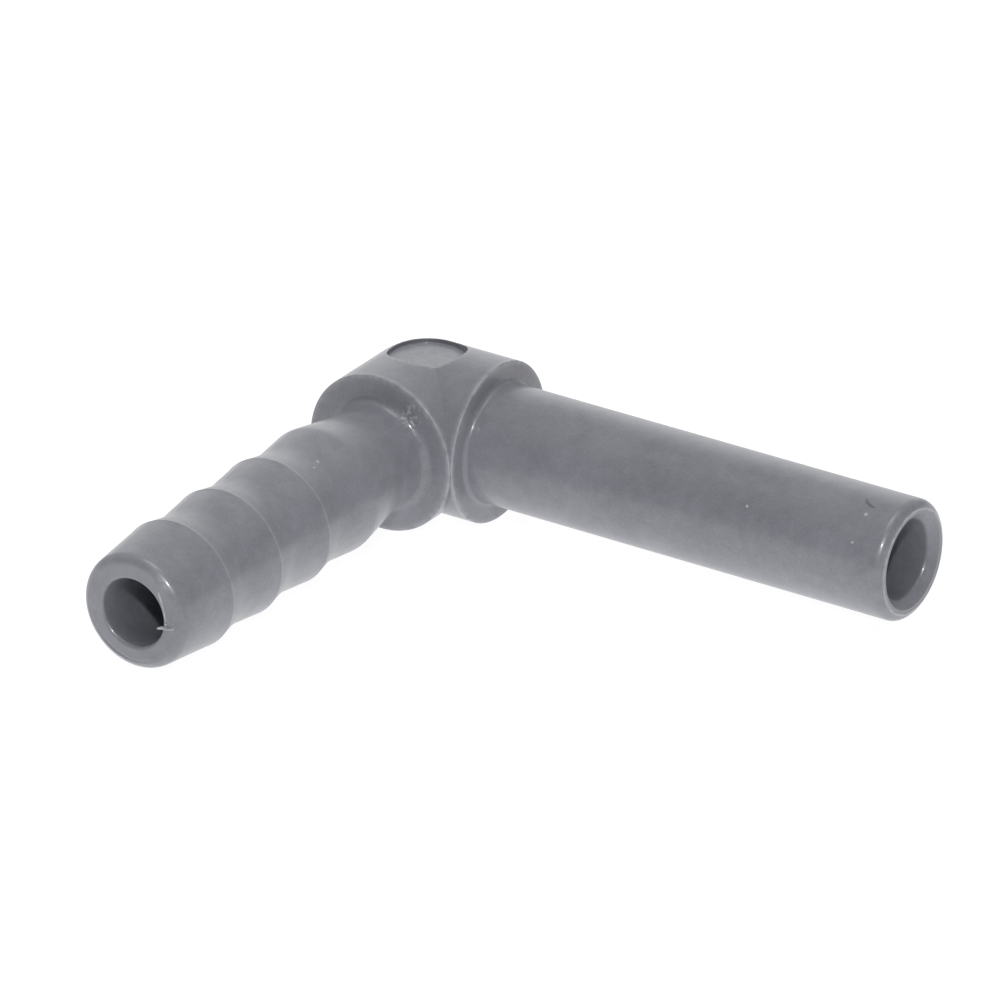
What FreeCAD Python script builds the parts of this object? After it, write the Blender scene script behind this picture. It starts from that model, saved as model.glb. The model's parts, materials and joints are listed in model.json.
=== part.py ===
"""Plug-in elbow with a barbed hose tail: a one-piece acetal moulding, built from its three members.

The plain stem pushes into a fitting for 3/8 in tube. The barbed tail takes a 3/8 in hose.
Frame: origin where the two bore centrelines cross, +X along the stem, -Y along the tail, and +Z
up through the round recess in the hub. Millimetres.
"""
import FreeCAD, Part
import math
import os
from FreeCAD import Vector

ORIGIN = Vector(0, 0, 0)
STEM_WAY = Vector(1, 0, 0)
TAIL_WAY = Vector(0, -1, 0)
UP = Vector(0, 0, 1)

# ---------------------------------------------------------------- driving dimensions, in mm
# Hub: two equal barrels with a ball at the outer corner.
HUB_DIA = 12.88
SHOULDER_LIP = 0.135       # how far each shoulder stands past the other barrel's flank
RIM_ROUND = 0.11           # rounding of the shoulders' outer edges
RECESS_DIA = 6.2
RECESS_FLOOR = 5.25        # height of the recess floor above the bore centrelines
CORE_OVERRUN = 0.2         # how far the stem's bore runs past the tail's bore

# Stem: the outside of a 3/8 in tube.
STEM_DIA = 9.525
STEM_BORE_DIA = 6.26
STEM_LENGTH = 37.37        # shoulder to end
STEM_COVE = 0.4            # cove radius where the stem leaves the shoulder
END_ROUND = 0.80           # radius of the outer rounding at the stem's end
END_ROUND_WALL = 0.63      # how much of the end wall that rounding takes
END_LEAN = 0.15            # how far the end wall leans back where it is rounded
MOUTH_CHAMFER = 0.64       # width of the chamfer inside the stem's mouth
MOUTH_CHAMFER_DEPTH = 0.70
END_WALL_SHARE = 0.395     # the most of the end wall that the rounding or the chamfer may take

# Tail: shallow barbs for a push-on hose.
BARBS = 4
CREST_DIA = 10.34
BARB_PITCH = 6.30
FIRST_CREST = 7.83         # shoulder to the crest nearest the hub
BACK_RUN = 2.48            # each barb falls towards the hub over this length ...
BACK_DROP = 0.45           # ... by this much on the radius, to its valley
TIP_RUN = 5.78             # crest nearest the tip to the tip
TIP_DROP = 0.60            # crest down to the tip's flank, on the radius
TIP_ROUND = 0.65
NECK_DROP = 0.86           # crest down to the neck, on the radius
NECK_TAPER = 0.19          # how much thinner the neck is at its root, on the radius
TAIL_COVE = 0.75           # cove radius at the shoulder
TAIL_BORE_DIA = 5.47
TAIL_MOUTH_ROUND = 0.18
CREST_ROUND = 0.5
SOFT_CREST_ROUND = 4.0     # the crest nearest the hub is blunter than the others

# ---------------------------------------------------------------- sizes that follow from them
HUB_R = HUB_DIA / 2
SHOULDER = HUB_R + SHOULDER_LIP
STEM_R = STEM_DIA / 2
STEM_BORE_R = STEM_BORE_DIA / 2
TAIL_BORE_R = TAIL_BORE_DIA / 2
STEM_END = SHOULDER + STEM_LENGTH
TAIL_END = SHOULDER + FIRST_CREST + (BARBS - 1) * BARB_PITCH + TIP_RUN
CREST_R = CREST_DIA / 2
NECK_R = CREST_R - NECK_DROP
ROOT_R = NECK_R - NECK_TAPER
BACK_SLOPE = BACK_DROP / BACK_RUN
SAME_PLACE = 1e-6          # points closer than this are one point


def rounded_outline(corners):
    """Closed wire of straight runs in the plane of (along, out), with each corner turned to an arc.

    corners is a list of (along, out, radius); a radius of 0 leaves the corner sharp.
    """
    points = [Vector(along, out, 0) for along, out, radius in corners]
    arcs = []
    for index, (along, out, radius) in enumerate(corners):
        here = points[index]
        back = (points[index - 1] - here).normalize()
        ahead = (points[(index + 1) % len(points)] - here).normalize()
        if radius == 0:
            arcs.append((here, here, here))
            continue
        half_angle = back.getAngle(ahead) / 2
        reach = radius / math.tan(half_angle)
        inward = (back + ahead).normalize()
        middle = here + inward * (radius / math.sin(half_angle) - radius)
        arcs.append((here + back * reach, middle, here + ahead * reach))
    edges = []
    for index, (start, middle, end) in enumerate(arcs):
        if (end - start).Length > SAME_PLACE:
            edges.append(Part.Arc(start, middle, end).toShape())
        following = arcs[(index + 1) % len(arcs)][0]
        if (following - end).Length > SAME_PLACE:
            edges.append(Part.LineSegment(end, following).toShape())
    return Part.Wire(edges)


def turned(corners, way):
    """Solid of revolution about the line through the origin along way."""
    solid = Part.Face(rounded_outline(corners)).revolve(ORIGIN, STEM_WAY, 360)
    solid.Placement = FreeCAD.Placement(ORIGIN, FreeCAD.Rotation(STEM_WAY, way))
    return solid


def round_bar(radius, start, end, way):
    """Cylinder about the line through the origin along way, from start to end."""
    return Part.makeCylinder(radius, end - start, way * start, way)


def cove(wanted, foot_r):
    """Cove radius at a shoulder, limited so that a flat ring is left outside it."""
    return min(wanted, 0.9 * (HUB_R - RIM_ROUND - foot_r))


def hub_arm(way):
    """One barrel of the hub, from the centre to its shoulder."""
    return turned([(0, 0, 0), (0, HUB_R, 0), (SHOULDER, HUB_R, RIM_ROUND), (SHOULDER, 0, 0)], way)


def elbow_hub():
    """Two barrels joined by a quarter ball, with the round recess on top and both bores."""
    ball = Part.makeSphere(HUB_R, ORIGIN, UP, -90, 90, 90)
    ball.rotate(ORIGIN, UP, 90)
    recess = round_bar(RECESS_DIA / 2, RECESS_FLOOR, HUB_R + 1, UP)
    stem_bore = round_bar(STEM_BORE_R, -TAIL_BORE_R - CORE_OVERRUN, SHOULDER, STEM_WAY)
    tail_bore = round_bar(TAIL_BORE_R, 0, SHOULDER, TAIL_WAY)
    body = hub_arm(STEM_WAY).fuse([hub_arm(TAIL_WAY), ball])
    return body.cut([recess, stem_bore, tail_bore]).removeSplitter()


def tube_stem():
    """Plain tube: a cove at its shoulder, a rounded end and a chamfered mouth."""
    foot = cove(STEM_COVE, STEM_R)
    wall_limit = END_WALL_SHARE * (STEM_R - STEM_BORE_R)
    rounded = min(END_ROUND_WALL, wall_limit)
    chamfer = min(MOUTH_CHAMFER, wall_limit)
    return turned([
        (SHOULDER, STEM_BORE_R, 0),
        (SHOULDER, STEM_R + foot, 0),
        (SHOULDER, STEM_R, foot),
        (STEM_END - END_LEAN, STEM_R, END_ROUND * rounded / END_ROUND_WALL),
        (STEM_END, STEM_R - rounded, 0),
        (STEM_END, STEM_BORE_R + chamfer, 0),
        (STEM_END - MOUTH_CHAMFER_DEPTH, STEM_BORE_R, 0),
    ], STEM_WAY)


def barb_corners():
    """Crests and valleys from the hub to the tip: each barb rises slowly from the tip's side."""
    corners = []
    for barb in range(BARBS):
        crest = SHOULDER + FIRST_CREST + barb * BARB_PITCH
        if barb == 0:
            corners.append((crest - NECK_DROP / BACK_SLOPE, NECK_R, 0))
            corners.append((crest, CREST_R, SOFT_CREST_ROUND))
        else:
            corners.append((crest - BACK_RUN, CREST_R - BACK_DROP, 0))
            corners.append((crest, CREST_R, CREST_ROUND))
    return corners


def hose_tail():
    """Barbed tail: a cove at its shoulder, a short neck, the barbs and a rounded tip."""
    foot = cove(TAIL_COVE, ROOT_R)
    return turned([
        (SHOULDER, TAIL_BORE_R, 0),
        (SHOULDER, ROOT_R + foot, 0),
        (SHOULDER, ROOT_R, foot),
        *barb_corners(),
        (TAIL_END, CREST_R - TIP_DROP, TIP_ROUND),
        (TAIL_END, TAIL_BORE_R, TAIL_MOUTH_ROUND),
    ], TAIL_WAY)


NODES = {
    "elbow_hub": elbow_hub,
    "tube_stem": tube_stem,
    "hose_tail": hose_tail,
}

os.makedirs("parts", exist_ok=True)
for name, make in NODES.items():
    shape = make()
    shape.exportStep(f"parts/{name}.step")
    print(f"{name}: {len(shape.Solids)} solid, valid {shape.isValid()}, {shape.Volume:.1f} mm3")
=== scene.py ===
"""Plug-in elbow with a barbed hose tail: the looks of a one-piece grey acetal moulding.

Frame: the two bore centrelines cross at the origin, the stem leaves along +X, the hose tail
along -Y, and +Z is up through the round recess in the hub. Metres.

Each member is worked out in its own coordinates (along, inward, up): along the member from the
centre, inward towards the other member, and up.
"""

import json
import math

import bmesh
import bpy
import numpy as np
from mathutils import Matrix, Vector


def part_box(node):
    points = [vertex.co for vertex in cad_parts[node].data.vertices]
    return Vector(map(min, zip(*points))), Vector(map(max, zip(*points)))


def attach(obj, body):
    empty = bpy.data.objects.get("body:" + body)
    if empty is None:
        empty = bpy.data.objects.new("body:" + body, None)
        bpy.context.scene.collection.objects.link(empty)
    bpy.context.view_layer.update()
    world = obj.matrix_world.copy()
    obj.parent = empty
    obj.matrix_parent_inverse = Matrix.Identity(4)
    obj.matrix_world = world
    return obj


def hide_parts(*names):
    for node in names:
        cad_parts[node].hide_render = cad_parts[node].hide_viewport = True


bl_info = {
    "name": "Plug-in barb elbow",
    "version": (1, 0, 0),
    "blender": (4, 5, 0),
    "location": "3D View > Sidebar > Elbow",
    "description": "A moulded elbow with a plain plug-in stem and a barbed hose tail",
    "category": "Add Mesh",
}

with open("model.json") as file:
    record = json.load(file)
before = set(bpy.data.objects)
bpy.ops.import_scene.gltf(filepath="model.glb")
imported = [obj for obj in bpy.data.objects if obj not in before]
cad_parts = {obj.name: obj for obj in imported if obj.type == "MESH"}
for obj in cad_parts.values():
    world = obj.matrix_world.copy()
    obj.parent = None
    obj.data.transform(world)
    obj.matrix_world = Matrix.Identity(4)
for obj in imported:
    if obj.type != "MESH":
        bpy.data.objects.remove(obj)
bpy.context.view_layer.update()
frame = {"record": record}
MM = 0.001
CAD_STEP = 0.005 * MM


def to_cad_step(length):
    """A length read off a faceted box, put back on the design's own step."""
    return round(length / CAD_STEP) * CAD_STEP


def mount_radius(name):
    """The radius that the record states for a round mount."""
    mounts = {mount["name"]: mount for mount in frame["record"]["mounts"]}
    return mounts[name]["dims"]["r_mm"] * MM


HUB_LOW, HUB_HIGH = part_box("elbow_hub")
HUB_R = to_cad_step(-HUB_LOW.z)
SHOULDER = to_cad_step(HUB_HIGH.x)
STEM_END = to_cad_step(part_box("tube_stem")[1].x)
TAIL_END = to_cad_step(-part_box("hose_tail")[0].y)
STEM_R = mount_radius("tube_stem")
STEM_BORE_R = mount_radius("stem_bore")
TAIL_BORE_R = mount_radius("tail_bore")
BORE_OVERRUN = TAIL_BORE_R + 0.2 * MM


WELD = 0.0004 * MM         # points closer than this are joined
COLUMNS = 288              # points once round a member
ARC_STEPS = 64             # of them, along a barrel's share of the recess
BALL_STEPS = 44            # and along the ball's share
TABLE = 2.5                # half the table's side, in metres

# Scales of the noises in the acetal, per metre.
CLOUD, BLOTCH, GRAIN = 170, 900, 5200
SWELL, PEEL, RIPPLE, SCUFF = 420, 2600, 2400, 1500

# Light tent: each light is strength * cos(angle from its middle) ^ power. Its middle is turned
# this many degrees to the right of the far side, and raised this many.
LIGHTS = {
    "overhead": (0, 90, 5.4, 30),
    "far wall": (5, 15, 1.25, 6),
    "right panel": (60, 50, 0.55, 8),
    "left wall": (-50, 15, 0.4, 6),
    "left panel": (-70, 50, 0.35, 8),
    "right strip": (90, 2, 0.25, 30),
}

# Small scars of the moulding: (along its member, degrees from inward, size), in mm.
STEM_PIPS = ((41.2, 61, 0.20), (31.6, 37, 0.16), (41.1, 32, 0.16))
STEM_NICK = ((40.45, 77.5, 0.17), (40.55, 75.7, 0.20), (40.7, 74, 0.22), (40.88, 72.6, 0.22),
             (41.06, 71.5, 0.22), (41.24, 70.7, 0.20), (41.45, 70.4, 0.17))
TAIL_PIPS = ((17.7, 65, 0.20), (14.5, 47, 0.18), (18.5, 62, 0.16))
# Where the tail's cove sparkles: (along, degrees from inward, size), in mm. The flecks there are a
# painted highlight of the lamp, over real ripples.
COVE_SPARKLE = (6.8, 50, 1.5)

# Slivers of flash round the tail's mouth: (radius, degrees) along each, and its half width, in mm.
MOUTH_BURRS = (
    (((2.34, -17), (2.83, -9), (3.45, -5.8), (3.80, -2.5)), 0.15),
    (((3.00, -4), (3.07, -1.4), (3.10, 1)), 0.12),
    (((3.48, 46), (3.24, 35), (3.06, 17.5), (3.08, 2.5)), 0.11),
)


# ------------------------------------------------------------------ sizes and colours to change

def length(name, description, default):
    """A length property in metres."""
    return bpy.props.FloatProperty(name=name, description=description, default=default,
                                   subtype="DISTANCE", unit="LENGTH", precision=6)


def share(name, description, default, top=1.0):
    """A plain number from 0 to top."""
    return bpy.props.FloatProperty(name=name, description=description, default=default,
                                   min=0, max=top, precision=3)


def angle(name, description, degrees):
    """An angle property, its default given in degrees."""
    return bpy.props.FloatProperty(name=name, description=description,
                                   default=math.radians(degrees), subtype="ANGLE", unit="ROTATION")


def colour(name, description, default):
    """A colour property."""
    return bpy.props.FloatVectorProperty(name=name, description=description, default=default,
                                         subtype="COLOR", size=3, min=0, max=1)


class ElbowShape(bpy.types.PropertyGroup):
    """Sizes of the moulding that its frame doesn't already fix."""

    rim_round: length("Rim round", "Rounding of the shoulders' outer edges", 0.11 * MM)
    recess_r: length("Recess radius", "Round recess on top of the hub", 3.10 * MM)
    recess_floor: length("Recess floor", "Height of its floor above the centrelines", 5.25 * MM)
    recess_round: length("Recess edge", "Rounding of the recess's rim and foot", 0.09 * MM)
    stem_cove: length("Stem cove", "Cove where the stem leaves its shoulder", 0.40 * MM)
    end_wall: length("End round wall", "How much of the end wall the rounding takes", 0.63 * MM)
    end_lean: length("End lean", "How far the end leans back where it is rounded", 0.15 * MM)
    end_round: length("End round", "Radius of the stem's rounded end", 0.80 * MM)
    chamfer: length("Mouth chamfer", "Width of the chamfer in the stem's mouth", 0.64 * MM)
    chamfer_depth: length("Chamfer depth", "Depth of that chamfer", 0.70 * MM)
    tail_cove: length("Tail cove", "Cove where the tail leaves its shoulder", 0.75 * MM)
    crest_r: length("Crest radius", "Radius of the barbs' crests", 5.17 * MM)
    pitch: length("Barb pitch", "Crest to crest", 6.30 * MM)
    first_crest: length("First crest", "Shoulder to the crest nearest the hub", 7.83 * MM)
    back_run: length("Back run", "Length over which a barb falls towards the hub", 2.48 * MM)
    back_drop: length("Back drop", "How far it falls", 0.45 * MM)
    neck_drop: length("Neck drop", "Crest down to the neck", 0.86 * MM)
    neck_taper: length("Neck taper", "How much thinner the neck is at its root", 0.19 * MM)
    tip_drop: length("Tip drop", "Crest down to the tip's flank", 0.60 * MM)
    tip_round: length("Tip round", "Rounding of the tail's tip", 0.85 * MM)
    mouth_round: length("Tail mouth round", "Rounding of the tail's mouth", 0.30 * MM)
    neck_round: length("Neck round", "Hollow where the neck meets the first barb", 3.0 * MM)
    first_round: length("First crest round", "Rounding of the crest nearest the hub", 2.5 * MM)
    valley_round: length("Valley round", "Hollow of the valleys between barbs", 7.0 * MM)
    crest_round: length("Crest round", "Rounding of the other crests", 0.5 * MM)
    lip_round: length("Lip round", "Rounding of the mouth chamfer's inner edge", 0.45 * MM)
    lip_bead: length("Lip bead", "Height of the flash round the stem's end", 0.04 * MM)
    lip_width: length("Lip width", "Half width of that flash", 0.08 * MM)
    groove_r: length("Groove radius", "Where the groove runs on the tail's end", 3.93 * MM)
    groove: length("Groove", "Depth and half width of that groove", 0.10 * MM)
    # Radius of the paler bands on the tail's tip: painted highlights, one of them partly over a
    # scratch.
    tip_highlight_r: length("Scuff radius", "Where the tail's tip is scuffed", 4.22 * MM)
    # The band this sets is a painted highlight along the shoulders' rims, broken up by noise.
    rim_highlight_width: length("Wear", "Half width of the scuffed band along the shoulders' rims", 0.21 * MM)
    seam_height: length("Seam height", "How proud the mould's parting seam stands", 0.022 * MM)
    seam_width: length("Seam width", "Half width of that seam", 0.055 * MM)
    seam_share: share("Seam on members", "How much of it is left on the stem and tail", 0.3)
    bead_height: length("Crest bead", "Sharp witness bead along each crest", 0.022 * MM)
    bead_width: length("Bead width", "Half width of that bead", 0.08 * MM)
    barbs: bpy.props.IntProperty(name="Barbs", description="Number of barbs", default=4, min=1)


class ElbowFinish(bpy.types.PropertyGroup):
    """Colour and gloss of the acetal."""

    grey: colour("Acetal", "Colour of the moulding", (0.280, 0.285, 0.321))
    # This paler colour also stands for light: it paints highlights along rims, crests and tips,
    # painted light on the recess floor, and the painted sparkle in the tail's cove.
    pale_and_highlight: colour("Fresh edge", "Colour where the skin is scuffed or thin", (0.56, 0.57, 0.60))
    roughness: share("Roughness", "Mean roughness of the moulded skin", 0.37)
    mottle: share("Mottle", "How much the colour drifts over the surface", 0.20)


class ElbowStage(bpy.types.PropertyGroup):
    """Table, lights and camera."""

    table_glow: share("Table glow", "White light that comes up through the table", 0.93, 10)
    tent: share("Tent", "Strength of the light tent", 1.0, 10)
    flash: share("Flash", "Small lamp near the camera, in watts", 1.4, 100)
    glint: share("Glint", "The same lamp's sparkle on the gloss alone, in watts", 4.0, 100)
    flash_size: length("Flash size", "Side of that lamp", 35 * MM)
    flash_rise: angle("Flash rise", "How far above the camera it stands", 10.5)
    flash_turn: angle("Flash turn", "How far to the camera's right", 3)
    azimuth: angle("Camera azimuth", "0 looks along +Y", 34.055)
    elevation: angle("Camera elevation", "Above the part's mid plane", 26.228)
    roll: angle("Camera roll", "Turn about its own axis", -0.363)
    distance: length("Camera distance", "Hub to camera", 890.1 * MM)
    aim_right: length("Aim right", "How far right of the hub the camera aims", 5.54 * MM)
    aim_down: length("Aim down", "How far below the hub the camera aims", 6.02 * MM)
    lens: share("Lens", "Focal length in millimetres", 417.0, 1000)


# ------------------------------------------------------------------ lines and surfaces

def rounded_line(corners, arc_points=10):
    """Line of straight runs whose corners are turned to arcs.

    corners is a list of (along, out, radius). At a corner the arc touches both runs at a distance
    of radius / tan(half the corner's angle); a radius of 0 leaves the corner sharp.
    """
    points = np.array([corner[:2] for corner in corners], float)
    pieces = [points[:1]]
    for before, here, after, corner in zip(points, points[1:], points[2:], corners[1:-1]):
        back = (before - here) / np.linalg.norm(before - here)
        ahead = (after - here) / np.linalg.norm(after - here)
        radius = corner[2]
        if radius == 0:
            pieces.append(here[None])
            continue
        half = math.acos(np.clip(back @ ahead, -1, 1)) / 2
        centre = here + (back + ahead) / np.linalg.norm(back + ahead) * radius / math.sin(half)
        start = (here + back * radius / math.tan(half) - centre) / radius
        end = (here + ahead * radius / math.tan(half) - centre) / radius
        turn = math.pi - 2 * half
        steps = np.linspace(0, turn, arc_points)[:, None]
        arc = (np.sin(turn - steps) * start + np.sin(steps) * end) / math.sin(turn)
        pieces.append(centre + radius * arc)
    pieces.append(points[-1:])
    return np.vstack(pieces)


def evenly(line, spacing):
    """The same line with no step longer than spacing, one number or one for each step."""
    steps = np.diff(line, axis=0)
    counts = np.maximum(1, np.ceil(np.linalg.norm(steps, axis=1) / spacing)).astype(int)
    starts = np.repeat(line[:-1], counts, axis=0)
    within = np.concatenate([np.arange(count) / count for count in counts])
    return np.vstack([starts + np.repeat(steps, counts, axis=0) * within[:, None], line[-1:]])


def bell(distance, half_width):
    """Bell curve of height 1: exp(-(distance / half_width)^2)."""
    return np.exp(-((distance / half_width) ** 2))


def crowded(low, high, centre, steps, width=0.15):
    """Angles from low to high, closest together at centre: centre + width sinh(even steps)."""
    ends = np.arcsinh((np.array([low, high]) - centre) / width)
    return centre + width * np.sinh(np.linspace(ends[0], ends[1], steps + 1))


def round_angles():
    """Angles once round a member, closest together at its two parting seams."""
    half = crowded(-math.pi / 2, math.pi / 2, 0, COLUMNS // 2)[:-1]
    return np.concatenate([half, half + math.pi])


def seam(up):
    """How proud the parting seam stands: a bell curve over the mould's parting plane, up = 0."""
    shape = bpy.context.scene.elbow_shape
    return shape.seam_height * bell(up, shape.seam_width)


def on_stem(along, inward, up):
    """Points at member coordinates on the stem's side: along +X, inward is -Y."""
    return np.stack(np.broadcast_arrays(along, -np.asarray(inward), up), -1)


def on_tail(along, inward, up):
    """Points at member coordinates on the tail's side: along -Y, inward is +X."""
    return np.stack(np.broadcast_arrays(inward, -np.asarray(along), up), -1)


def blended(first, last, shares):
    """Rows of points from first to last, at the given shares of the way."""
    shares = np.asarray(shares, float)[:, None, None]
    return first * (1 - shares) + last * shares


class Skin:
    """Patches of a piece, each a grid of points, gathered and joined into one mesh."""

    def __init__(self):
        # edges holds, for each point, how far it is painted paler, painted highlights included.
        self.points, self.quads, self.edges = [], [], []
        self.count = 0

    def add(self, grid, fresh_edge_and_highlight=0.0, wrap=False):
        """Adds a grid of points [row, column, 3]. fresh_edge_and_highlight says how far each point
        is painted paler: real burrs, flash and rubbing in places, painted highlights on rims,
        crests and tips elsewhere.
        """
        rows, columns = grid.shape[:2]
        index = self.count + np.arange(rows * columns).reshape(rows, columns)
        if wrap:
            index = np.hstack([index, index[:, :1]])
        quads = np.stack([index[:-1, :-1], index[:-1, 1:], index[1:, 1:], index[1:, :-1]], -1)
        self.points.append(grid.reshape(-1, 3))
        self.edges.append(np.broadcast_to(fresh_edge_and_highlight, (rows, columns)).ravel())
        self.quads.append(quads.reshape(-1, 4))
        self.count += rows * columns

    def piece(self, name, sharp=math.radians(28)):
        """Object with the patches welded, faces outwards, and smooth except over sharp edges."""
        mesh = bpy.data.meshes.new(name)
        mesh.from_pydata(np.vstack(self.points), [], np.vstack(self.quads).tolist())
        fresh_edge_and_highlight = mesh.attributes.new("fresh_edge_and_highlight", "FLOAT", "POINT")
        fresh_edge_and_highlight.data.foreach_set("value", np.concatenate(self.edges).astype(np.float32))
        work = bmesh.new()
        work.from_mesh(mesh)
        bmesh.ops.remove_doubles(work, verts=work.verts, dist=WELD)
        bmesh.ops.recalc_face_normals(work, faces=work.faces)
        work.to_mesh(mesh)
        work.free()
        mesh.shade_smooth()
        mesh.set_sharp_from_angle(angle=sharp)
        piece = bpy.data.objects.new(name, mesh)
        bpy.context.scene.collection.objects.link(piece)
        return piece


def turned(line, place, fresh_edge_and_highlight=0.0, lift=0.0, proud=0.0):
    """Skin of a closed line (along, out) carried round a member's axis.

    The point at angle t is (along, out cos t, out sin t); lift, one number for each point of the
    line, says how much of the seam's height is added to out there, and proud is added to along.
    """
    angles = round_angles()
    along, out = line[:, :1] + proud, line[:, 1:]
    out = out + np.reshape(lift, (-1, 1)) * seam(out * np.sin(angles))
    skin = Skin()
    skin.add(place(along, out * np.cos(angles), out * np.sin(angles)), fresh_edge_and_highlight, wrap=True)
    return skin


# ------------------------------------------------------------------ hub

def hub_across(x, y):
    """Distance from the nearer axis of the hub at a place seen from above.

    Where both barrels lie it is the smaller of the two distances, and past the centre, over the
    outer corner's ball, it is the distance from the centre.
    """
    return np.where((x >= 0) & (y <= 0), np.minimum(x, -y),
                    np.hypot(np.minimum(x, 0), np.maximum(y, 0)))


def hub_height(x, y):
    """Height of the hub's skin there: sqrt(R^2 - across^2)."""
    return np.sqrt(HUB_R ** 2 - hub_across(x, y) ** 2)


def recess_turns():
    """Turns about +Z round the recess: the stem's barrel, the ball, and the tail's barrel."""
    return (np.linspace(-0.25, 0.5, ARC_STEPS + 1) * math.pi,
            np.linspace(0.5, 1, BALL_STEPS + 1) * math.pi,
            np.linspace(1, 1.75, ARC_STEPS + 1) * math.pi)


def barrel_angles(edge_r):
    """Angles once round a barrel from its inward seam, with one for each turn of the recess."""
    arc = np.arccos(-edge_r * np.sin(recess_turns()[0]) / HUB_R)
    side = (COLUMNS // 2 - ARC_STEPS) // 2
    near = crowded(0, arc[0], 0, side)
    far = crowded(arc[-1], math.pi, math.pi, side)
    under = crowded(math.pi, 1.5 * math.pi, math.pi, COLUMNS // 4)
    return np.concatenate([near, arc[1:], far[1:], under[1:], (3 * math.pi - under)[-2:0:-1]])


def barrel(skin, place, bore):
    """One barrel of the hub, from where it meets its neighbours to the edge of its bore.

    The skin is (along, r cos t, r sin t), with r the hub's radius and the seam on top. It starts
    at the valley, along = inward, at the middle, along = 0, or at the recess's rim, whichever is
    furthest out. bore is the row of (inward, up) where its face ends.
    """
    shape = bpy.context.scene.elbow_shape
    edge_r = shape.recess_r + shape.recess_round
    angles = barrel_angles(edge_r)
    r = HUB_R + seam(HUB_R * np.sin(angles))
    inward, up = r * np.cos(angles), r * np.sin(angles)
    rim = np.sqrt(np.maximum(edge_r ** 2 - inward ** 2, 0)) * (up > 0)
    start = np.maximum.reduce([inward, rim, 0 * rim])
    q = shape.rim_round
    rows = np.sin(np.linspace(0, math.pi / 2, 17))[:, None]
    to_rim = (SHOULDER - q - start) * (1 - rows)
    # Painted highlight: the barrel next to each rim, the rim's rounding (most at its middle) and
    # the shoulder's outer ring are painted paler to stand for the rims' bright lines.
    skin.add(place(SHOULDER - q - to_rim, inward, up), 0.5 * bell(to_rim, shape.rim_highlight_width), wrap=True)
    bend = np.linspace(0, math.pi / 2, 7)[:, None]
    out = r - q + q * np.cos(bend)
    skin.add(place(SHOULDER - q + q * np.sin(bend), out * np.cos(angles), out * np.sin(angles)),
             0.5 + 0.15 * np.sin(2 * bend), wrap=True)
    outer = place(SHOULDER, (r - q) * np.cos(angles), (r - q) * np.sin(angles))
    shares = np.linspace(0, 1, 15) ** 2
    skin.add(blended(outer, place(SHOULDER, *bore), shares),
             0.5 * bell(shares[:, None] * (HUB_R - STEM_BORE_R), shape.rim_highlight_width), wrap=True)
    return angles


def ball(skin, angles):
    """Quarter ball on the hub's outer corner: r (sin p cos a, sin p sin a, cos p).

    a turns from +Y to -X, and p goes down from the recess's rim with the barrel's own angles.
    """
    shape = bpy.context.scene.elbow_shape
    far = math.acos(-(shape.recess_r + shape.recess_round) / HUB_R)
    down = angles[(angles > far - 1e-9) & (angles < 1.5 * math.pi + 1e-9)][:, None]
    turn = recess_turns()[1]
    r = HUB_R + seam(HUB_R * np.sin(down))
    flat = -r * np.cos(down)
    skin.add(np.stack(np.broadcast_arrays(flat * np.cos(turn), flat * np.sin(turn),
                                          r * np.sin(down)), -1))


def recess(skin):
    """Round recess on top: a rounded rim, a wall, a rounded foot and a flat floor.

    Rim and foot are curves (1-w)^2 A + 2w(1-w) B + w^2 C about their corner B.
    """
    shape = bpy.context.scene.elbow_shape
    r, q, floor = shape.recess_r, shape.recess_round, shape.recess_floor
    stem_side, corner, tail_side = recess_turns()
    turn = np.concatenate([stem_side, corner[1:], tail_side[1:-1]])
    c, s = np.cos(turn), np.sin(turn)

    def ring(radius, height):
        return np.stack([radius * c, radius * s, height + 0 * c], -1)

    def bend(a, b, d, steps=6):
        w = np.linspace(0, 1, steps)[:, None, None]
        return (1 - w) ** 2 * a + 2 * w * (1 - w) * b + w ** 2 * d

    outside = ring(r + q, hub_height((r + q) * c, (r + q) * s))
    top = hub_height(r * c, r * s)
    below = ring(r, top - q)
    foot = ring(r, floor + q)
    inside = ring(r - q, floor)
    # Painted light: the recess's rim is painted paler as a highlight, and its floor is painted
    # paler to brighten it against the recess's shade.
    skin.add(bend(outside, ring(r, top), below), 0.6, wrap=True)
    skin.add(blended(below, foot, np.linspace(0, 1, 6)), wrap=True)
    skin.add(bend(foot, ring(r, floor), inside), wrap=True)
    skin.add(blended(inside, ring(0, floor), np.linspace(0, 1, 9)), 0.3, wrap=True)


def bore_angles():
    """Angles round the two bores, so that their points meet where the tail's bore opens.

    The tail's are even. On the stem's bore, a point of the opening is at the height of one on
    the tail's: STEM_BORE_R sin t = TAIL_BORE_R sin s.
    """
    tail = np.linspace(0, 2 * math.pi, COLUMNS, endpoint=False)
    quarter = COLUMNS // 4
    first = np.arcsin(TAIL_BORE_R * np.sin(tail[:quarter + 1]) / STEM_BORE_R)
    past = np.linspace(first[-1], 2 * math.pi - first[-1], COLUMNS // 2 + 1)[1:-1]
    return np.concatenate([first, past, 2 * math.pi - first[:0:-1]]), tail


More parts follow.
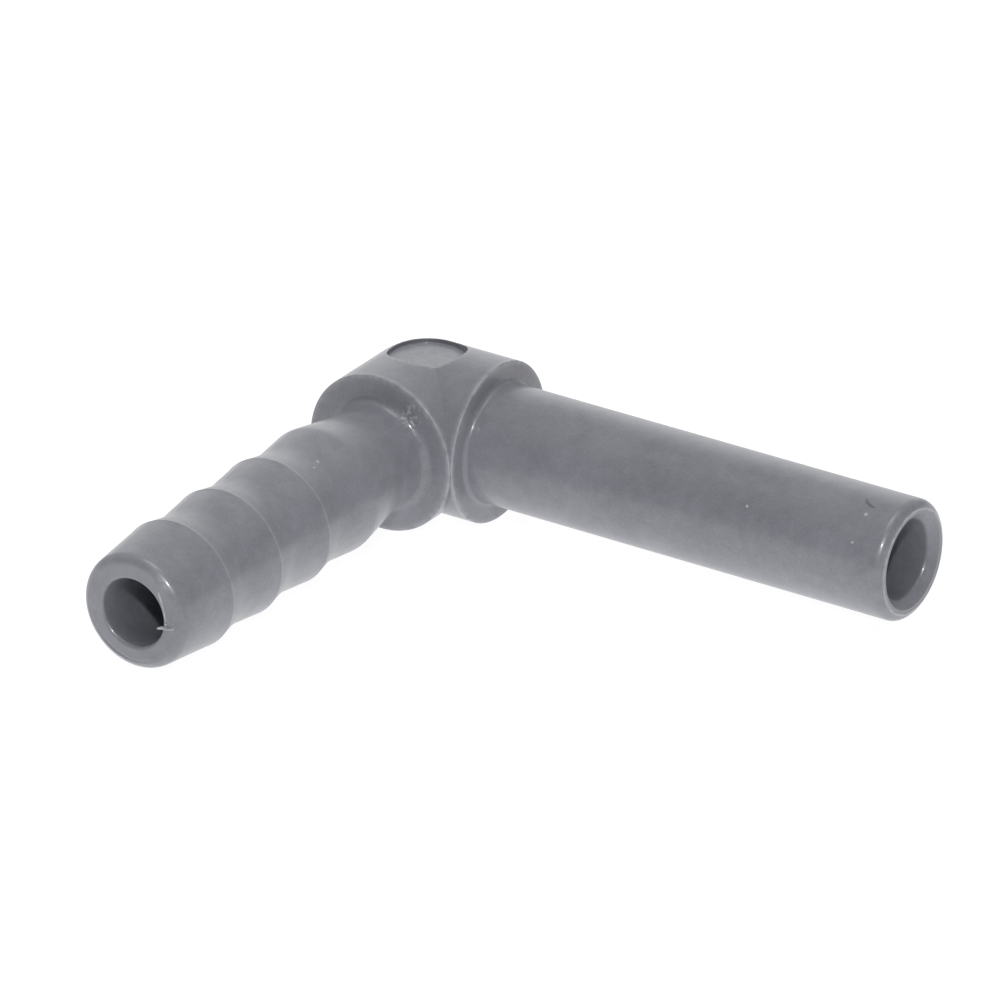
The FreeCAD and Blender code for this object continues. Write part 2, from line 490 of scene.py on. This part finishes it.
def passages(skin):
    """The two bores inside the hub, and the blind end of the stem's.

    The stem's bore is open over the tail's: there it stops at sqrt(TAIL_BORE_R^2 - up^2) on each
    side of the middle. The tail's starts at the stem's wall, sqrt(STEM_BORE_R^2 - up^2).
    """
    stem, tail = bore_angles()
    inward, up = STEM_BORE_R * np.cos(stem), STEM_BORE_R * np.sin(stem)
    opening = np.sqrt(np.maximum(TAIL_BORE_R ** 2 - up ** 2, 0)) * (inward > 0)
    rows = np.linspace(0, 1, 7)[:, None]
    skin.add(on_stem(-BORE_OVERRUN + (BORE_OVERRUN - opening) * rows, inward, up), wrap=True)
    skin.add(on_stem(opening + (SHOULDER - opening) * rows, inward, up), wrap=True)
    skin.add(blended(on_stem(-BORE_OVERRUN, inward, up), on_stem(-BORE_OVERRUN, 0 * up, 0 * up),
                     np.linspace(0, 1, 4)), wrap=True)
    inward, up = TAIL_BORE_R * np.cos(tail), TAIL_BORE_R * np.sin(tail)
    start = np.sqrt(STEM_BORE_R ** 2 - up ** 2)
    skin.add(on_tail(start + (SHOULDER - start) * rows, inward, up), wrap=True)


class ELBOW_OT_hub(bpy.types.Operator):
    """Make the hub: two barrels, the ball on their outer corner, the recess and the bores"""

    bl_idname = "elbow.hub"
    bl_label = "Hub"

    def execute(self, context):
        skin = Skin()
        stem, tail = bore_angles()
        angles = barrel(skin, on_stem, (STEM_BORE_R * np.cos(stem), STEM_BORE_R * np.sin(stem)))
        barrel(skin, on_tail, (TAIL_BORE_R * np.cos(tail), TAIL_BORE_R * np.sin(tail)))
        ball(skin, angles)
        recess(skin)
        passages(skin)
        finish_piece(skin.piece("moulded_hub"), "elbow_hub")
        return {"FINISHED"}


# ------------------------------------------------------------------ stem and tail

class ELBOW_OT_stem(bpy.types.Operator):
    """Make the plain stem: its cove, its rounded end and its chamfered mouth"""

    bl_idname = "elbow.stem"
    bl_label = "Stem"

    def execute(self, context):
        shape = context.scene.elbow_shape
        wall = STEM_R - shape.end_wall
        line = rounded_line([
            (SHOULDER, STEM_BORE_R, 0),
            (SHOULDER, STEM_R + shape.stem_cove, 0),
            (SHOULDER, STEM_R, shape.stem_cove),
            (STEM_END - shape.end_lean, STEM_R, shape.end_round),
            (STEM_END, wall, 0.02 * MM),
            (STEM_END, STEM_BORE_R + shape.chamfer, 0.05 * MM),
            (STEM_END - shape.chamfer_depth, STEM_BORE_R, shape.lip_round),
            (SHOULDER, STEM_BORE_R, 0),
        ])
        at_end = (line[1:, 0] + line[:-1, 0]) / 2 > STEM_END - 1.2 * MM
        line = evenly(line, np.where(at_end, 0.04 * MM, 0.9 * MM))
        on_face = line[:, 0] > STEM_END - 0.12 * MM
        # The flash line round the stem's end is a real raised bead, and it is also painted paler:
        # a painted highlight standing for its bright ring.
        flash = bell(line[:, 1] - wall, shape.lip_width) * on_face
        line[:, 0] += shape.lip_bead * flash
        lift = (line[:, 1] > STEM_R - 0.05 * MM) & (line[:, 1] < STEM_R + 0.01 * MM)
        lift = lift * shape.seam_share
        finish_piece(turned(line, on_stem, flash[:, None], lift).piece("plain_stem"), "tube_stem")
        return {"FINISHED"}


def tail_outline():
    """Closed line of the hose tail: cove, neck, barbs, tip and bore."""
    shape = bpy.context.scene.elbow_shape
    crests = SHOULDER + shape.first_crest + shape.pitch * np.arange(shape.barbs)
    neck = shape.crest_r - shape.neck_drop
    root = neck - shape.neck_taper
    slope = shape.back_drop / shape.back_run
    corners = [(SHOULDER, root + shape.tail_cove, 0),
               (SHOULDER, root, shape.tail_cove),
               (crests[0] - shape.neck_drop / slope, neck, shape.neck_round),
               (crests[0], shape.crest_r, shape.first_round)]
    for crest in crests[1:]:
        corners.append((crest - shape.back_run, shape.crest_r - shape.back_drop,
                        shape.valley_round))
        corners.append((crest, shape.crest_r, shape.crest_round))
    corners.append((TAIL_END, shape.crest_r - shape.tip_drop, shape.tip_round))
    corners.append((TAIL_END, TAIL_BORE_R, shape.mouth_round))
    corners.append((SHOULDER, TAIL_BORE_R, 0))
    line = rounded_line(corners)
    barbed = (line[:, 0] > SHOULDER + 1.5 * MM) & (line[:, 0] < TAIL_END - 0.8 * MM)
    barbed &= line[:, 1] > TAIL_BORE_R + 1 * MM
    first, last = np.flatnonzero(barbed)[[0, -1]]
    fine = np.linspace(-2.5, 2.5, 13) * shape.bead_width
    along = np.concatenate([line[first:last + 1, 0], (crests[:, None] + fine).ravel(),
                            np.linspace(line[first, 0], line[last, 0], 70)])
    along = np.unique(np.round(along / (0.01 * MM))) * 0.01 * MM
    along = along[(along > line[first, 0]) & (along < line[last, 0])]
    barbs = line[first:last + 1]
    flank = np.stack([along, np.interp(along, barbs[:, 0], barbs[:, 1])], -1)
    tip = evenly(line[last:-1], 0.075 * MM)
    return crests, np.vstack([[(SHOULDER, TAIL_BORE_R)], line[:first + 1], flank, tip,
                              evenly(line[-2:], 3 * MM)[1:]])


def burr(path, half_width, steps=28):
    """Sliver lying on the tail's end: an ellipse carried along the smooth line through path.

    Its half width tapers to both ends as sqrt(sin(pi u)), and it stands as high as that.
    """
    radius, turn = np.array(path).T
    at = np.linspace(0, 1, len(path))
    u = (1 - np.cos(np.linspace(0, math.pi, steps))) / 2
    radius = np.polyval(np.polyfit(at, radius, len(path) - 1), u) * MM
    turn = np.radians(np.polyval(np.polyfit(at, turn, len(path) - 1), u))
    inward, up = radius * np.cos(turn), radius * np.sin(turn)
    run = np.stack([np.gradient(inward), np.gradient(up)])
    run /= np.linalg.norm(run, axis=0)
    girth = half_width * MM * np.sqrt(np.clip(np.sin(math.pi * u), 0, 1))[:, None]
    v = np.linspace(0, 2 * math.pi, 16, endpoint=False)
    across, high = girth * np.cos(v), 0.8 * girth * np.sin(v)
    return on_tail(TAIL_END + high, inward[:, None] - run[1][:, None] * across,
                   up[:, None] + run[0][:, None] * across)


class ELBOW_OT_tail(bpy.types.Operator):
    """Make the barbed tail: its cove, the neck, the barbs, the tip and its rounded mouth"""

    bl_idname = "elbow.tail"
    bl_label = "Hose tail"

    def execute(self, context):
        shape = context.scene.elbow_shape
        crests, line = tail_outline()
        outside = line[:, 1] > TAIL_BORE_R + 1 * MM
        bead = bell(line[:, :1] - crests[1:], shape.bead_width).sum(1) * outside
        line[:, 1] += shape.bead_height * bead
        lift = outside & (line[:, 0] > SHOULDER + 1.3 * MM) & (line[:, 0] < TAIL_END - 0.3 * MM)
        lift = lift * shape.seam_share
        at_tip = (line[:, :1] > TAIL_END - 0.15 * MM) & outside[:, None]
        turn = np.degrees(round_angles()) % 360
        low_left = bell(turn - 235, 50)
        groove = bell(line[:, 1:] - shape.groove_r, shape.groove) * low_left * at_tip
        # Painted highlight on the tip's rounding: a paler band on the lower left stands for the
        # floor's reflection, and a narrow one near 50 degrees for the lamp's streak, which is
        # partly a scratch.
        at_round = (line[:, :1] > TAIL_END - 0.7 * MM) & outside[:, None]
        tip_highlight_and_scratch = bell(line[:, 1:] - shape.tip_highlight_r, 0.13 * MM) * at_round
        tip_highlight_and_scratch = tip_highlight_and_scratch * (0.8 * low_left + bell(turn - 50, 8))
        # The crests' beads are painted paler too: a painted highlight for the light lines along
        # the crests, over the real bead.
        fresh_edge_and_highlight = 0.45 * bead[:, None] + tip_highlight_and_scratch
        skin = turned(line, on_tail, fresh_edge_and_highlight, lift, -shape.groove * groove)
        for path, half_width in MOUTH_BURRS:
            skin.add(burr(path, half_width), 1.0, wrap=True)
        finish_piece(skin.piece("barbed_tail"), "hose_tail")
        return {"FINISHED"}


# ------------------------------------------------------------------ finish

class Value:
    """A socket in an expression: the operators add the Math nodes that work it out."""

    def __init__(self, finish, socket):
        self.finish, self.socket = finish, socket

    def __add__(self, other):
        return self.finish.math("ADD", self, other)

    def __sub__(self, other):
        return self.finish.math("SUBTRACT", self, other)

    def __rsub__(self, other):
        return self.finish.math("SUBTRACT", other, self)

    def __mul__(self, other):
        return self.finish.math("MULTIPLY", self, other)

    def __pow__(self, other):
        return self.finish.math("POWER", self, other)

    __radd__ = __add__
    __rmul__ = __mul__


class Finish:
    """A node tree that is being written."""

    def __init__(self, tree):
        self.tree = tree
        tree.nodes.clear()

    def add(self, kind, sockets=None, **settings):
        """A node of this kind, its settings first and then its sockets' values or links."""
        node = self.tree.nodes.new(kind)
        for name, setting in settings.items():
            setattr(node, name, setting)
        for name, value in (sockets or {}).items():
            if isinstance(value, Value):
                self.tree.links.new(value.socket, node.inputs[name])
            elif isinstance(value, bpy.types.NodeSocket):
                self.tree.links.new(value, node.inputs[name])
            else:
                node.inputs[name].default_value = value
        return node

    def value(self, node, output=0):
        """One output of a node, ready for an expression."""
        return Value(self, node.outputs[output])

    def math(self, operation, *values):
        """A Math node on one, two or three values."""
        return self.value(self.add("ShaderNodeMath", dict(enumerate(values)), operation=operation))

    def noise(self, place, scale, detail=2.0, roughness=0.5, distortion=0.0):
        """Smooth noise about 0, from about -0.5 to 0.5."""
        return self.value(self.add("ShaderNodeTexNoise", {
            "Vector": place, "Scale": scale, "Detail": detail, "Roughness": roughness,
            "Distortion": distortion}), "Fac") - 0.5

    def between(self, low, high, value):
        """0 below low, 1 above high, and smooth between them."""
        return self.value(self.add("ShaderNodeMapRange", {
            "Value": value, "From Min": low, "From Max": high}, interpolation_type="SMOOTHSTEP"))

    def mix(self, factor, first, last):
        """The colour that is this share of the way from first to last."""
        return self.add("ShaderNodeMix", {0: factor, 6: first, 7: last},
                        data_type="RGBA").outputs[2]


def with_alpha(rgb, gain=1.0):
    """A colour property as a socket's four numbers, made lighter or darker by gain."""
    return (rgb[0] * gain, rgb[1] * gain, rgb[2] * gain, 1)


def spots(marks, place, radius):
    """Middle and size of each mark on one member: radius (cos t, sin t) at its place along it."""
    return [(place(along * MM, radius * math.cos(math.radians(turn)),
                   radius * math.sin(math.radians(turn))), size * MM)
            for along, turn, size in marks]


def scars(paint, place, spots):
    """1 in the middle of each spot and 0 outside it, added up."""
    mask = 0.0
    for spot, size in spots:
        away = paint.value(paint.add("ShaderNodeVectorMath", {0: place, 1: spot},
                                     operation="DISTANCE"), "Value")
        mask = mask + (1 - paint.between(0.3 * size, size, away))
    return mask


def moulded_acetal():
    """Grey acetal: a faint mottle, fine grain, orange peel, rubbed edges, a few scars, and painted
    highlights along rims, crests, tips and in the tail's cove.
    """
    name = "moulded_acetal"
    if name in bpy.data.materials:
        return bpy.data.materials[name]
    look = bpy.context.scene.elbow_finish
    material = bpy.data.materials.new(name)
    material.use_nodes = True
    paint = Finish(material.node_tree)
    place = paint.add("ShaderNodeTexCoord").outputs["Object"]
    cloud = paint.noise(place, CLOUD, 3)
    blotch = paint.noise(place, BLOTCH, 4, 0.6)
    grain = paint.noise(place, GRAIN, 3, 0.6)
    tone = 0.5 + cloud + blotch + grain * 0.9
    fresh_edge_and_highlight = paint.value(paint.add("ShaderNodeAttribute", attribute_name="fresh_edge_and_highlight"), "Fac")
    # This mask is real burrs, flash and rubbing in part, and in part painted highlights along
    # rims, crests and tips and painted light in the recess; noise breaks it up.
    pale_marks_and_highlight = fresh_edge_and_highlight * paint.between(-0.35, 0.20, paint.noise(place, SCUFF, 3, 0.6))
    pips_and_sparkle = scars(paint, place, spots(STEM_PIPS, on_stem, STEM_R)
                 + spots(TAIL_PIPS, on_tail, 4.85 * MM))
    nick = scars(paint, place, spots(STEM_NICK, on_stem, STEM_R))
    sparkle_patch = scars(paint, place, spots((COVE_SPARKLE,), on_tail, 5.1 * MM))
    ripple = paint.noise(place, RIPPLE, 3)
    # Paler flecks in the cove: painted sparkle, a painted highlight of the lamp on a rippled
    # patch, added to the real scars.
    pips_and_sparkle = pips_and_sparkle + sparkle_patch * paint.between(0.02, 0.13, ripple) * 0.8
    body = paint.mix(tone, with_alpha(look.grey, 1 - look.mottle),
                     with_alpha(look.grey, 1 + look.mottle))
    marked_and_highlit = paint.mix(pale_marks_and_highlight + pips_and_sparkle, body, with_alpha(look.pale_and_highlight))
    colour = paint.mix(nick * 0.5, marked_and_highlit, with_alpha(look.grey, 0.25))
    rough = look.roughness + blotch * 0.06 + grain * 0.03 + pale_marks_and_highlight * 0.12
    peel = (paint.noise(place, SWELL, 2) * 0.8 + paint.noise(place, PEEL, 2) * 0.14 + grain * 0.05
            + sparkle_patch * ripple * 12.0 + pips_and_sparkle * 1.2 - nick * 1.5)
    bump = paint.add("ShaderNodeBump", {"Height": peel, "Strength": 1.0, "Distance": 0.00002})
    shader = paint.add("ShaderNodeBsdfPrincipled", {
        "Base Color": colour, "Roughness": rough, "Normal": bump.outputs[0], "IOR": 1.48,
        "Coat Weight": 0.28, "Coat Roughness": 0.12})
    paint.add("ShaderNodeOutputMaterial", {"Surface": shader.outputs[0]})
    return material


def finish_piece(piece, node):
    """Gives a new piece the moulded finish and puts it in its design node's place."""
    piece.data.materials.append(moulded_acetal())
    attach(piece, "root")
    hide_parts(node)


# ------------------------------------------------------------------ stage

def table_plane():
    """Height and slopes of the table under the elbow: z = height + slope_x x + slope_y y.

    It touches the rim at the tail's shoulder, the crest nearest the tip and the stem's end.
    """
    shape = bpy.context.scene.elbow_shape
    rim = SHOULDER - shape.rim_round
    last_crest = SHOULDER + shape.first_crest + shape.pitch * (shape.barbs - 1)
    slope_y = (shape.crest_r - HUB_R) / (last_crest - rim)
    height = -HUB_R + slope_y * rim
    slope_x = (-STEM_R - height) / (STEM_END - shape.end_round)
    return height, slope_x, slope_y


def table_finish():
    """White translucent table, lit from below so that nothing casts a shadow on it."""
    look = bpy.context.scene.elbow_stage
    material = bpy.data.materials.new("white_table")
    material.use_nodes = True
    paint = Finish(material.node_tree)
    shader = paint.add("ShaderNodeBsdfPrincipled", {
        "Base Color": (0.15, 0.15, 0.15, 1), "Roughness": 0.8,
        "Emission Color": (1, 1, 1, 1), "Emission Strength": look.table_glow})
    paint.add("ShaderNodeOutputMaterial", {"Surface": shader.outputs[0]})
    return material


def bearing(turn, rise):
    """Direction turned to the right of the camera's far side, and raised, both in radians."""
    look = bpy.context.scene.elbow_stage
    a = look.azimuth - turn
    return Vector((-math.sin(a) * math.cos(rise), math.cos(a) * math.cos(rise), math.sin(rise)))


def tent_light():
    """World light of the tent: the sum of its lights."""
    look = bpy.context.scene.elbow_stage
    world = bpy.data.worlds.new("light_tent")
    world.use_nodes = True
    bpy.context.scene.world = world
    paint = Finish(world.node_tree)
    way = paint.add("ShaderNodeTexCoord").outputs["Generated"]
    glow = 0.0
    for turn, rise, strength, power in LIGHTS.values():
        middle = bearing(math.radians(turn), math.radians(rise))
        facing = paint.value(paint.add("ShaderNodeVectorMath", {0: way, 1: middle},
                                       operation="DOT_PRODUCT"), "Value")
        glow = glow + paint.math("MAXIMUM", facing, 0.0) ** power * (strength * look.tent)
    back = paint.add("ShaderNodeBackground", {"Color": (1, 1, 1, 1), "Strength": glow})
    paint.add("ShaderNodeOutputWorld", {"Surface": back.outputs[0]})


def flash_lamp(name, watts):
    """Small lamp a little above the camera and to its right, which the camera doesn't see."""
    look = bpy.context.scene.elbow_stage
    data = bpy.data.lights.new(name, "AREA")
    data.size, data.energy = look.flash_size, watts
    lamp = bpy.data.objects.new(name, data)
    away = bearing(math.pi - look.flash_turn, look.elevation + look.flash_rise)
    lamp.matrix_world = (Matrix.Translation(away * look.distance)
                         @ (-away).to_track_quat("-Z", "Y").to_matrix().to_4x4())
    lamp.visible_camera = False
    bpy.context.scene.collection.objects.link(lamp)
    return lamp


def camera_axes():
    """Right, up and forward of the camera, turned by its azimuth, elevation and roll."""
    look = bpy.context.scene.elbow_stage
    a, e, roll = look.azimuth, look.elevation, look.roll
    right = Vector((math.cos(a), math.sin(a), 0))
    level = Vector((-math.sin(a), math.cos(a), 0))
    forward = math.cos(e) * level - math.sin(e) * Vector((0, 0, 1))
    up = math.sin(e) * level + math.cos(e) * Vector((0, 0, 1))
    return (math.cos(roll) * right + math.sin(roll) * up,
            math.cos(roll) * up - math.sin(roll) * right, forward)


class ELBOW_OT_stage(bpy.types.Operator):
    """Make the table, the soft light round it and the camera"""

    bl_idname = "elbow.stage"
    bl_label = "Table, light and camera"

    def execute(self, context):
        look = context.scene.elbow_stage
        height, slope_x, slope_y = table_plane()
        u, v = np.meshgrid(np.linspace(-TABLE, TABLE, 9), np.linspace(-TABLE, TABLE, 9))
        mesh = bpy.data.meshes.new("table")
        index = np.arange(81).reshape(9, 9)
        quads = np.stack([index[:-1, :-1], index[:-1, 1:], index[1:, 1:], index[1:, :-1]], -1)
        points = np.stack([u, v, height + slope_x * u + slope_y * v], -1).reshape(-1, 3)
        mesh.from_pydata(points, [], quads.reshape(-1, 4).tolist())
        mesh.materials.append(table_finish())
        table = bpy.data.objects.new("table", mesh)
        context.scene.collection.objects.link(table)

        right, up, forward = camera_axes()
        data = bpy.data.cameras.new("camera")
        data.lens = look.lens
        data.sensor_width = 36
        camera = bpy.data.objects.new("camera", data)
        turn = Matrix((right, up, -forward)).transposed().to_4x4()
        spot = right * look.aim_right - up * look.aim_down - forward * look.distance
        camera.matrix_world = Matrix.Translation(spot) @ turn
        context.scene.collection.objects.link(camera)
        context.scene.camera = camera

        tent_light()
        flash_lamp("flash", look.flash)
        flash_lamp("glint", look.glint).visible_diffuse = False
        context.scene.view_settings.view_transform = "Standard"
        return {"FINISHED"}


class ELBOW_PT_panel(bpy.types.Panel):
    """The elbow's sizes, finish and stage"""

    bl_idname = "ELBOW_PT_panel"
    bl_label = "Barb elbow"
    bl_space_type = "VIEW_3D"
    bl_region_type = "UI"
    bl_category = "Elbow"

    def draw(self, context):
        for operator in STEPS:
            self.layout.operator(operator)
        for group in (context.scene.elbow_shape, context.scene.elbow_finish,
                      context.scene.elbow_stage):
            box = self.layout.box()
            for name in group.bl_rna.properties.keys():
                if name not in ("rna_type", "name"):
                    box.prop(group, name)


CLASSES = (ElbowShape, ElbowFinish, ElbowStage, ELBOW_OT_hub, ELBOW_OT_stem, ELBOW_OT_tail,
           ELBOW_OT_stage, ELBOW_PT_panel)
STEPS = ("elbow.hub", "elbow.stem", "elbow.tail", "elbow.stage")


def register():
    for each in CLASSES:
        bpy.utils.register_class(each)
    bpy.types.Scene.elbow_shape = bpy.props.PointerProperty(type=ElbowShape)
    bpy.types.Scene.elbow_finish = bpy.props.PointerProperty(type=ElbowFinish)
    bpy.types.Scene.elbow_stage = bpy.props.PointerProperty(type=ElbowStage)


def unregister():
    for name in ("elbow_stage", "elbow_finish", "elbow_shape"):
        delattr(bpy.types.Scene, name)
    for each in reversed(CLASSES):
        bpy.utils.unregister_class(each)


def main():
    """Registers the add-on, and makes every piece and the stage."""
    register()
    for step in STEPS:
        group, name = step.split(".")
        getattr(getattr(bpy.ops, group), name)()


if __name__ == "__main__":
    main()
